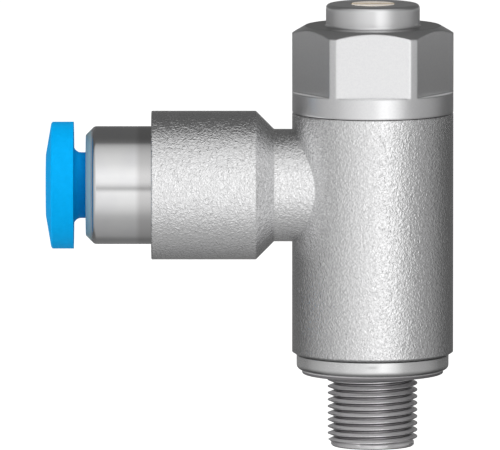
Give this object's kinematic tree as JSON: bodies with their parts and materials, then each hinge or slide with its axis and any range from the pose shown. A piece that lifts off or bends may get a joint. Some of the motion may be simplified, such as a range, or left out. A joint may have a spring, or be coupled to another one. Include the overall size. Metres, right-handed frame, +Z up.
{
  "type": "one-way flow control valve",
  "caption": "Swivel elbow valve for compressed air: push-in tube port with release ring, hollow bolt with hexagon and slotted throttle screw, check lip seal, male pipe thread.",
  "frame": {"origin": "on the bolt's axis, in the plane of the sealing ring's underside, where the valve seats on its port", "axes": "+Z up the bolt toward the regulating screw; -Z is the way the thread leaves the port; the tube leaves toward -X at rest"},
  "size_m": [0.044, 0.0174, 0.0481],
  "materials": {
    "bolt_metal": "turned and milled, satin, anodised clear",
    "plated_metal": "turned, nickel plated, bright",
    "polished_metal": "polished nickel plating",
    "cast_metal": "die-cast, fine orange-peel grain, matt silver",
    "screw_brass": "turned, satin",
    "spring_steel": "stamped stainless, bright",
    "blue_plastic": "moulded acetal, semi-gloss",
    "dark_plastic": "moulded, matt",
    "bearing_plastic": "moulded acetal, matt",
    "seal_ring_plastic": "smooth grey",
    "black_rubber": "matt nitrile"
  },
  "bodies": {
    "bolt": {"hollow_bolt": "bolt_metal", "port_connector": "plated_metal", "port_seal": "seal_ring_plastic", "spigot_o_ring": "black_rubber", "throttle_seat": "screw_brass", "check_seal": "black_rubber", "check_seal_clip": "bearing_plastic", "lower_o_ring": "black_rubber", "upper_o_ring": "black_rubber", "slide_washer": "bearing_plastic"},
    "swivel": {"swivel_housing": "cast_metal", "push_in_sleeve": "polished_metal", "sleeve_o_ring": "black_rubber", "tube_stop": "dark_plastic", "tube_seal": "black_rubber", "grip_support": "dark_plastic", "grip_ring": "spring_steel"},
    "release": {"release_ring": "blue_plastic"},
    "screw_carriage": {"screw_o_ring": "black_rubber"},
    "screw": {"regulating_screw": "screw_brass"}
  },
  "joints": [
    {"name": "body_swivel", "type": "hinge", "parent": "bolt", "child": "swivel", "pos_m": [0, 0, 0.02044], "axis": [0, 0, 1], "continuous": true},
    {"name": "ring_press", "type": "slide", "parent": "swivel", "child": "release", "axis": [1, 0, 0], "range_m": [0, 0.0011], "stiffness_N_per_m": 100, "springref_m": -0.001},
    {"name": "screw_rise", "type": "slide", "parent": "bolt", "child": "screw_carriage", "axis": [0, 0, 1], "range_m": [0, 0.004]},
    {"name": "screw_turn", "type": "hinge", "parent": "screw_carriage", "child": "screw", "pos_m": [0, 0, 0.0355], "axis": [0, 0, 1], "range_deg": [0, 2880]}
  ],
  "couplings": [
    {"joint": "screw_turn", "follows": "screw_rise", "rad_per_m": 12566}
  ]
}
